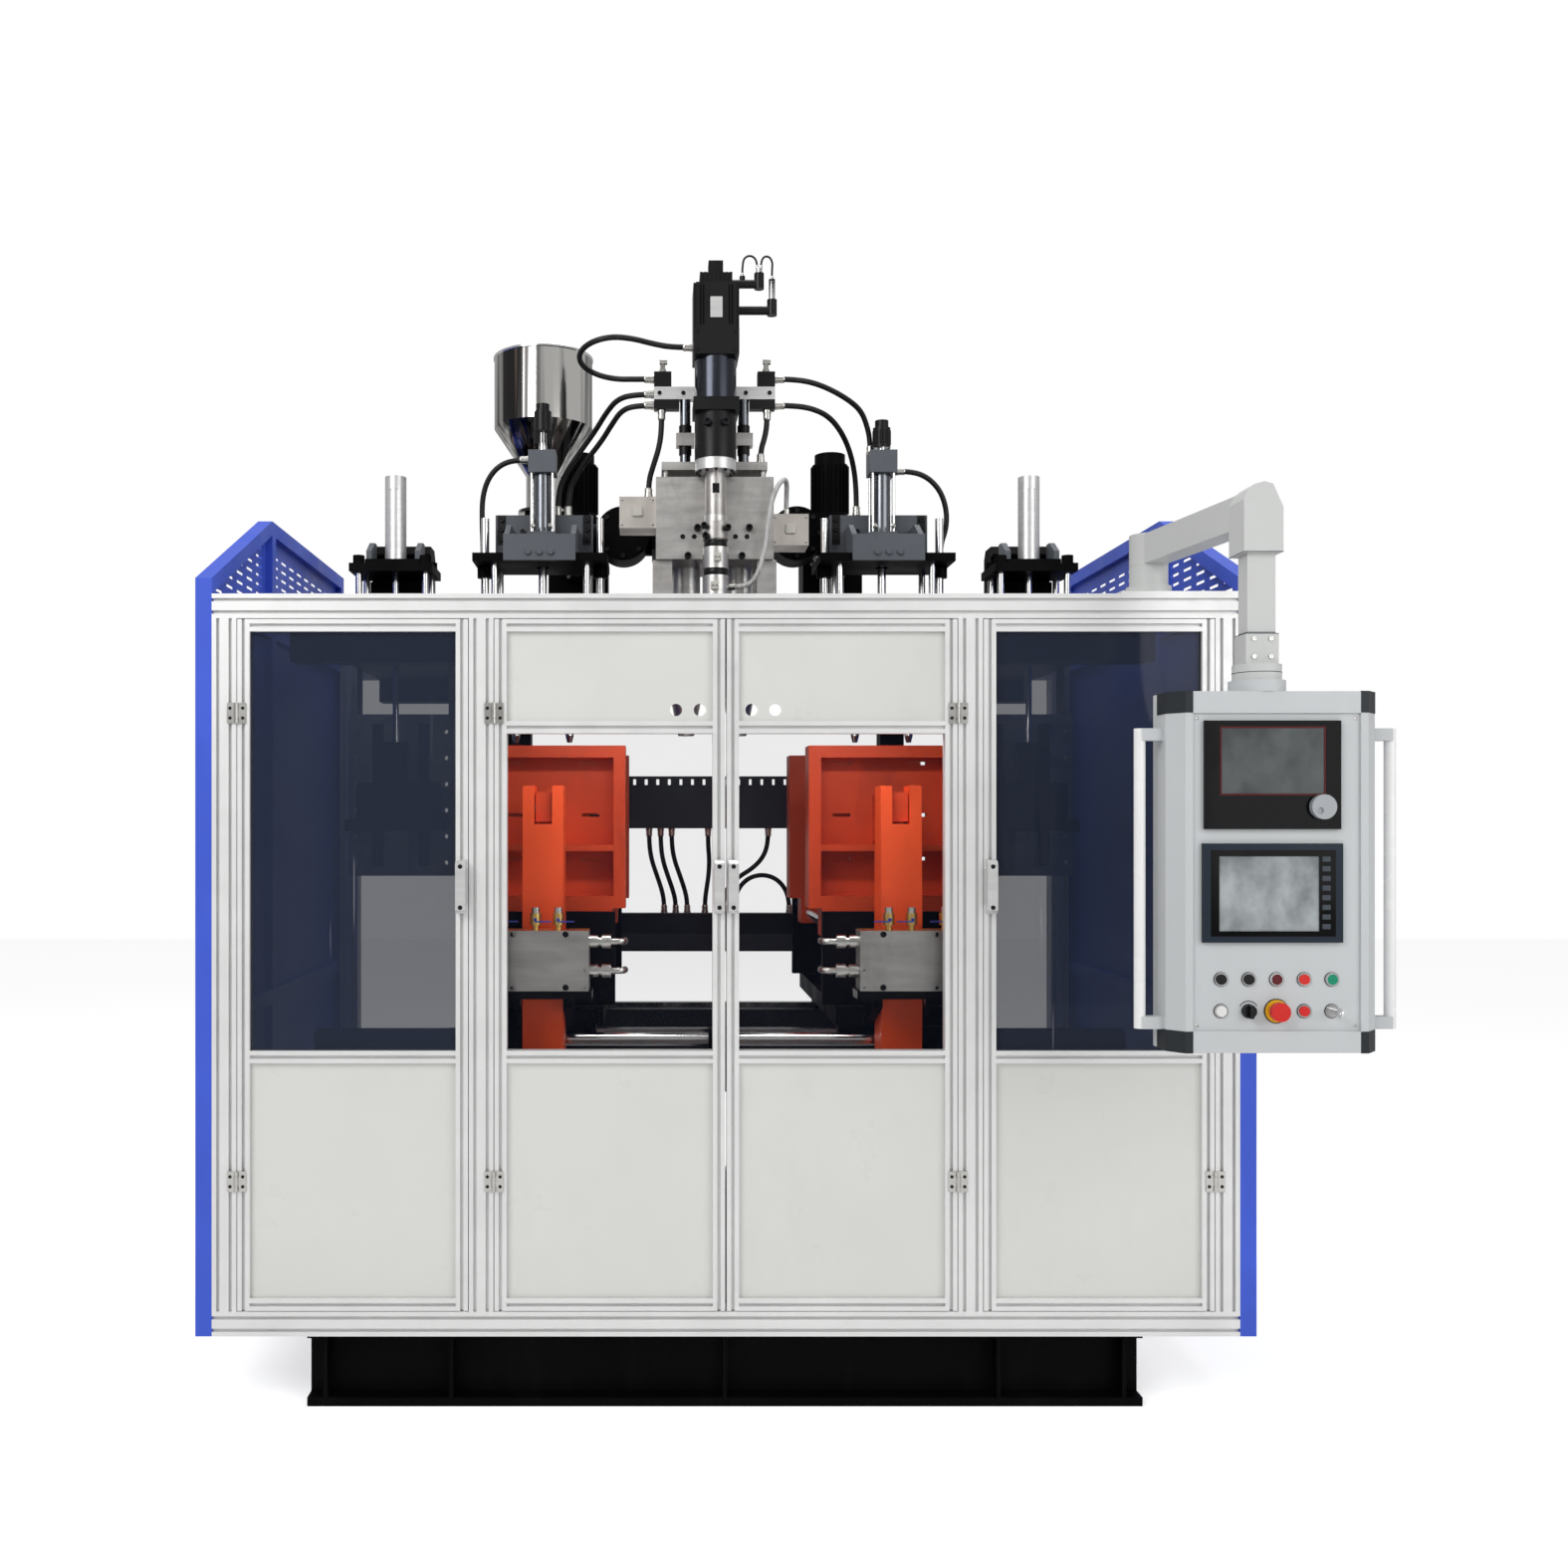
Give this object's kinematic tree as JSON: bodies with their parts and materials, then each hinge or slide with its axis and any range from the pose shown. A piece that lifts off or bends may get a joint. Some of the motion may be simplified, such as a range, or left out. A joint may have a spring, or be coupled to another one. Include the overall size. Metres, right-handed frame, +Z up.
{
  "type": "blow moulding machine",
  "caption": "Extrusion blow moulding machine with guard doors, clamping stations, die head, hopper and an operator panel on a swing arm",
  "frame": {"origin": "on the floor, under the middle of the base frame's centre beam", "axes": "+X to the right seen from the front, +Y from the door front to the back, +Z up"},
  "size_m": [2.709, 2.055, 3.049],
  "materials": {
    "black_steel": "satin black paint",
    "guard_aluminium": "clear anodised extrusion",
    "window": "tinted polycarbonate",
    "grey_panel": "light grey coating",
    "blue_paint": "gloss blue paint",
    "orange_paint": "gloss orange paint",
    "dark_grey_paint": "satin dark grey paint",
    "steel": "machined steel",
    "chrome": "hard chromed",
    "stainless": "polished sheet",
    "white_paint": "white coating",
    "panel_grey": "fine grey coating",
    "black_plastic": "gloss black",
    "white_plastic": "gloss white",
    "red_plastic": "gloss red",
    "dial_grey": "matt grey",
    "hose_rubber": "black rubber"
  },
  "bodies": {
    "machine": {"base_frame": "black_steel", "guard_frame": "guard_aluminium", "side_guards": "blue_paint", "machine_frame": "black_steel", "blow_units": "dark_grey_paint", "trim_units": "dark_grey_paint", "die_head": "steel", "parison_drive": "black_steel", "extruders": "black_steel", "hopper": "stainless", "panel_arm_base": "white_paint", "hoses": "hose_rubber"},
    "door_1": {"door_1_frame": "guard_aluminium", "door_1_window": "window", "door_1_panels": "grey_panel", "door_1_fittings": "chrome"},
    "door_2": {"door_2_frame": "guard_aluminium", "door_2_window": "window", "door_2_panels": "grey_panel", "door_2_fittings": "chrome"},
    "door_3": {"door_3_frame": "guard_aluminium", "door_3_window": "window", "door_3_panels": "grey_panel", "door_3_fittings": "chrome"},
    "door_4": {"door_4_frame": "guard_aluminium", "door_4_window": "window", "door_4_panels": "grey_panel", "door_4_fittings": "chrome"},
    "left_station": {"left_carriage": "black_steel", "left_valve_block": "steel"},
    "left_front_platen": {"left_front_platen": "orange_paint"},
    "left_front_arm": {"left_front_arm": "orange_paint"},
    "left_front_clamp_rod": {"left_front_clamp_rod": "chrome"},
    "left_rear_platen": {"left_rear_platen": "orange_paint"},
    "left_rear_arm": {"left_rear_arm": "orange_paint"},
    "left_rear_clamp_rod": {"left_rear_clamp_rod": "chrome"},
    "left_blow_head": {"left_blow_head": "steel"},
    "left_trim_head": {"left_trim_head": "steel"},
    "right_station": {"right_carriage": "black_steel", "right_valve_block": "steel"},
    "right_front_platen": {"right_front_platen": "orange_paint"},
    "right_front_arm": {"right_front_arm": "orange_paint"},
    "right_front_clamp_rod": {"right_front_clamp_rod": "chrome"},
    "right_rear_platen": {"right_rear_platen": "orange_paint"},
    "right_rear_arm": {"right_rear_arm": "orange_paint"},
    "right_rear_clamp_rod": {"right_rear_clamp_rod": "chrome"},
    "right_blow_head": {"right_blow_head": "steel"},
    "right_trim_head": {"right_trim_head": "steel"},
    "panel_arm": {"panel_arm": "white_paint"},
    "panel": {"panel_enclosure": "panel_grey", "panel_screens": "black_plastic"},
    "cycle_button": {"cycle_button": "black_plastic"},
    "spare_button": {"spare_button": "black_plastic"},
    "mould_button_upper": {"mould_button_upper": "red_plastic"},
    "mould_button_lower": {"mould_button_lower": "red_plastic"},
    "reset_button": {"reset_button": "white_plastic"},
    "emergency_stop": {"emergency_stop": "red_plastic"},
    "cycle_selector": {"cycle_selector": "black_plastic"},
    "key_switch": {"key_switch": "chrome"},
    "jog_dial": {"jog_dial": "dial_grey"}
  },
  "joints": [
    {"name": "door_1_hinge", "type": "hinge", "parent": "machine", "child": "door_1", "pos_m": [-1.189, -0.7552, 1], "axis": [0, 0, -1], "range_deg": [0, 100]},
    {"name": "door_2_hinge", "type": "hinge", "parent": "machine", "child": "door_2", "pos_m": [-0.564, -0.7552, 1], "axis": [0, 0, -1], "range_deg": [0, 100]},
    {"name": "door_3_hinge", "type": "hinge", "parent": "machine", "child": "door_3", "pos_m": [0.564, -0.7552, 1], "axis": [0, 0, 1], "range_deg": [0, 100]},
    {"name": "door_4_hinge", "type": "hinge", "parent": "machine", "child": "door_4", "pos_m": [1.189, -0.7552, 1], "axis": [0, 0, 1], "range_deg": [0, 35]},
    {"name": "left_station_slide", "type": "slide", "parent": "machine", "child": "left_station", "axis": [1, 0, 0], "range_m": [-0.047, 0.459]},
    {"name": "left_front_platen_slide", "type": "slide", "parent": "left_station", "child": "left_front_platen", "axis": [0, 1, 0], "range_m": [0, 0.1]},
    {"name": "left_front_arm_pivot", "type": "hinge", "parent": "left_station", "child": "left_front_arm", "pos_m": [-0.459, -0.51, 1.04], "axis": [-1, 0, 0], "range_deg": [0, 13.1]},
    {"name": "left_front_clamp_rod_slide", "type": "slide", "parent": "left_station", "child": "left_front_clamp_rod", "axis": [0, -1, 0], "range_m": [0, 0.0911]},
    {"name": "left_rear_platen_slide", "type": "slide", "parent": "left_station", "child": "left_rear_platen", "axis": [0, -1, 0], "range_m": [0, 0.1]},
    {"name": "left_rear_arm_pivot", "type": "hinge", "parent": "left_station", "child": "left_rear_arm", "pos_m": [-0.459, 0.61, 1.04], "axis": [1, 0, 0], "range_deg": [0, 13.1]},
    {"name": "left_rear_clamp_rod_slide", "type": "slide", "parent": "left_station", "child": "left_rear_clamp_rod", "axis": [0, 1, 0], "range_m": [0, 0.0911]},
    {"name": "left_blow_head_slide", "type": "slide", "parent": "machine", "child": "left_blow_head", "axis": [0, 0, 1], "range_m": [-0.12, 0]},
    {"name": "left_trim_head_slide", "type": "slide", "parent": "machine", "child": "left_trim_head", "axis": [0, 0, 1], "range_m": [-0.1, 0]},
    {"name": "right_station_slide", "type": "slide", "parent": "machine", "child": "right_station", "axis": [1, 0, 0], "range_m": [-0.459, 0.047]},
    {"name": "right_front_platen_slide", "type": "slide", "parent": "right_station", "child": "right_front_platen", "axis": [0, 1, 0], "range_m": [0, 0.1]},
    {"name": "right_front_arm_pivot", "type": "hinge", "parent": "right_station", "child": "right_front_arm", "pos_m": [0.459, -0.51, 1.04], "axis": [-1, 0, 0], "range_deg": [0, 13.1]},
    {"name": "right_front_clamp_rod_slide", "type": "slide", "parent": "right_station", "child": "right_front_clamp_rod", "axis": [0, -1, 0], "range_m": [0, 0.0911]},
    {"name": "right_rear_platen_slide", "type": "slide", "parent": "right_station", "child": "right_rear_platen", "axis": [0, -1, 0], "range_m": [0, 0.1]},
    {"name": "right_rear_arm_pivot", "type": "hinge", "parent": "right_station", "child": "right_rear_arm", "pos_m": [0.459, 0.61, 1.04], "axis": [1, 0, 0], "range_deg": [0, 13.1]},
    {"name": "right_rear_clamp_rod_slide", "type": "slide", "parent": "right_station", "child": "right_rear_clamp_rod", "axis": [0, 1, 0], "range_m": [0, 0.0911]},
    {"name": "right_blow_head_slide", "type": "slide", "parent": "machine", "child": "right_blow_head", "axis": [0, 0, 1], "range_m": [-0.12, 0]},
    {"name": "right_trim_head_slide", "type": "slide", "parent": "machine", "child": "right_trim_head", "axis": [0, 0, 1], "range_m": [-0.1, 0]},
    {"name": "panel_arm_swing", "type": "hinge", "parent": "machine", "child": "panel_arm", "pos_m": [1.048, -0.69, 2.07], "axis": [0, 0, 1], "range_deg": [-30, 60]},
    {"name": "panel_swivel", "type": "hinge", "parent": "panel_arm", "child": "panel", "pos_m": [1.118, -1.16, 1.741], "axis": [0, 0, 1], "range_deg": [-45, 45]},
    {"name": "cycle_button_press", "type": "slide", "parent": "panel", "child": "cycle_button", "axis": [0, 1, 0], "range_m": [0, 0.004], "stiffness_N_per_m": 600},
    {"name": "spare_button_press", "type": "slide", "parent": "panel", "child": "spare_button", "axis": [0, 1, 0], "range_m": [0, 0.004], "stiffness_N_per_m": 600},
    {"name": "mould_button_upper_press", "type": "slide", "parent": "panel", "child": "mould_button_upper", "axis": [0, 1, 0], "range_m": [0, 0.004], "stiffness_N_per_m": 600},
    {"name": "mould_button_lower_press", "type": "slide", "parent": "panel", "child": "mould_button_lower", "axis": [0, 1, 0], "range_m": [0, 0.004], "stiffness_N_per_m": 600},
    {"name": "reset_button_press", "type": "slide", "parent": "panel", "child": "reset_button", "axis": [0, 1, 0], "range_m": [0, 0.004], "stiffness_N_per_m": 600},
    {"name": "emergency_stop_press", "type": "slide", "parent": "panel", "child": "emergency_stop", "axis": [0, 1, 0], "range_m": [0, 0.005]},
    {"name": "cycle_selector_turn", "type": "hinge", "parent": "panel", "child": "cycle_selector", "pos_m": [1.0795, -1.215, 1.04], "axis": [0, 1, 0], "range_deg": [-45, 45]},
    {"name": "key_switch_turn", "type": "hinge", "parent": "panel", "child": "key_switch", "pos_m": [1.255, -1.215, 1.04], "axis": [0, 1, 0], "range_deg": [0, 90]},
    {"name": "jog_dial_turn", "type": "hinge", "parent": "panel", "child": "jog_dial", "pos_m": [1.23, -1.215, 1.471], "axis": [0, 1, 0], "continuous": true}
  ],
  "couplings": [
    {"joint": "left_front_arm_pivot", "follows": "left_front_platen_slide", "rad_per_m": 2.2727},
    {"joint": "left_front_clamp_rod_slide", "follows": "left_front_platen_slide", "ratio": 0.90909},
    {"joint": "left_rear_platen_slide", "follows": "left_front_platen_slide", "ratio": 1},
    {"joint": "left_rear_arm_pivot", "follows": "left_front_platen_slide", "rad_per_m": 2.2727},
    {"joint": "left_rear_clamp_rod_slide", "follows": "left_front_platen_slide", "ratio": 0.90909},
    {"joint": "right_front_arm_pivot", "follows": "right_front_platen_slide", "rad_per_m": 2.2727},
    {"joint": "right_front_clamp_rod_slide", "follows": "right_front_platen_slide", "ratio": 0.90909},
    {"joint": "right_rear_platen_slide", "follows": "right_front_platen_slide", "ratio": 1},
    {"joint": "right_rear_arm_pivot", "follows": "right_front_platen_slide", "rad_per_m": 2.2727},
    {"joint": "right_rear_clamp_rod_slide", "follows": "right_front_platen_slide", "ratio": 0.90909}
  ]
}
